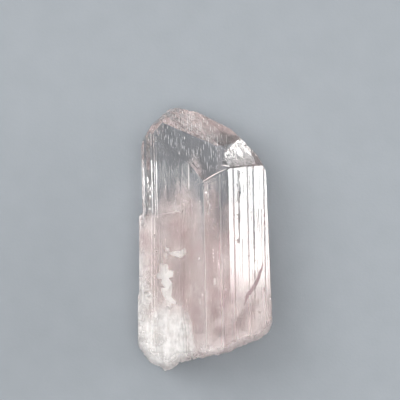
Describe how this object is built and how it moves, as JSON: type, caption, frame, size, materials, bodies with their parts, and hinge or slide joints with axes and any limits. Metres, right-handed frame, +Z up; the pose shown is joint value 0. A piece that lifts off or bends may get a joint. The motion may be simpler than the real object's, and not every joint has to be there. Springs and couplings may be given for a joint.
{
  "type": "danburite crystal",
  "caption": "Long wedge-tipped transparent crystal with lengthwise growth lines and a broken base, lying on a flat back face.",
  "frame": {"origin": "on the resting face, below the middle of the crystal's length and width", "axes": "+Y along the crystal's long axis towards its wedge tip, +X to its right seen from above, +Z up away from the resting face"},
  "size_m": [0.0288, 0.056, 0.021],
  "materials": {
    "crystal": "clear to milky pale pink crystal, glassy faces with fine growth lines, frosted broken base"
  },
  "bodies": {
    "root": {"crystal": "crystal"}
  },
  "joints": []
}
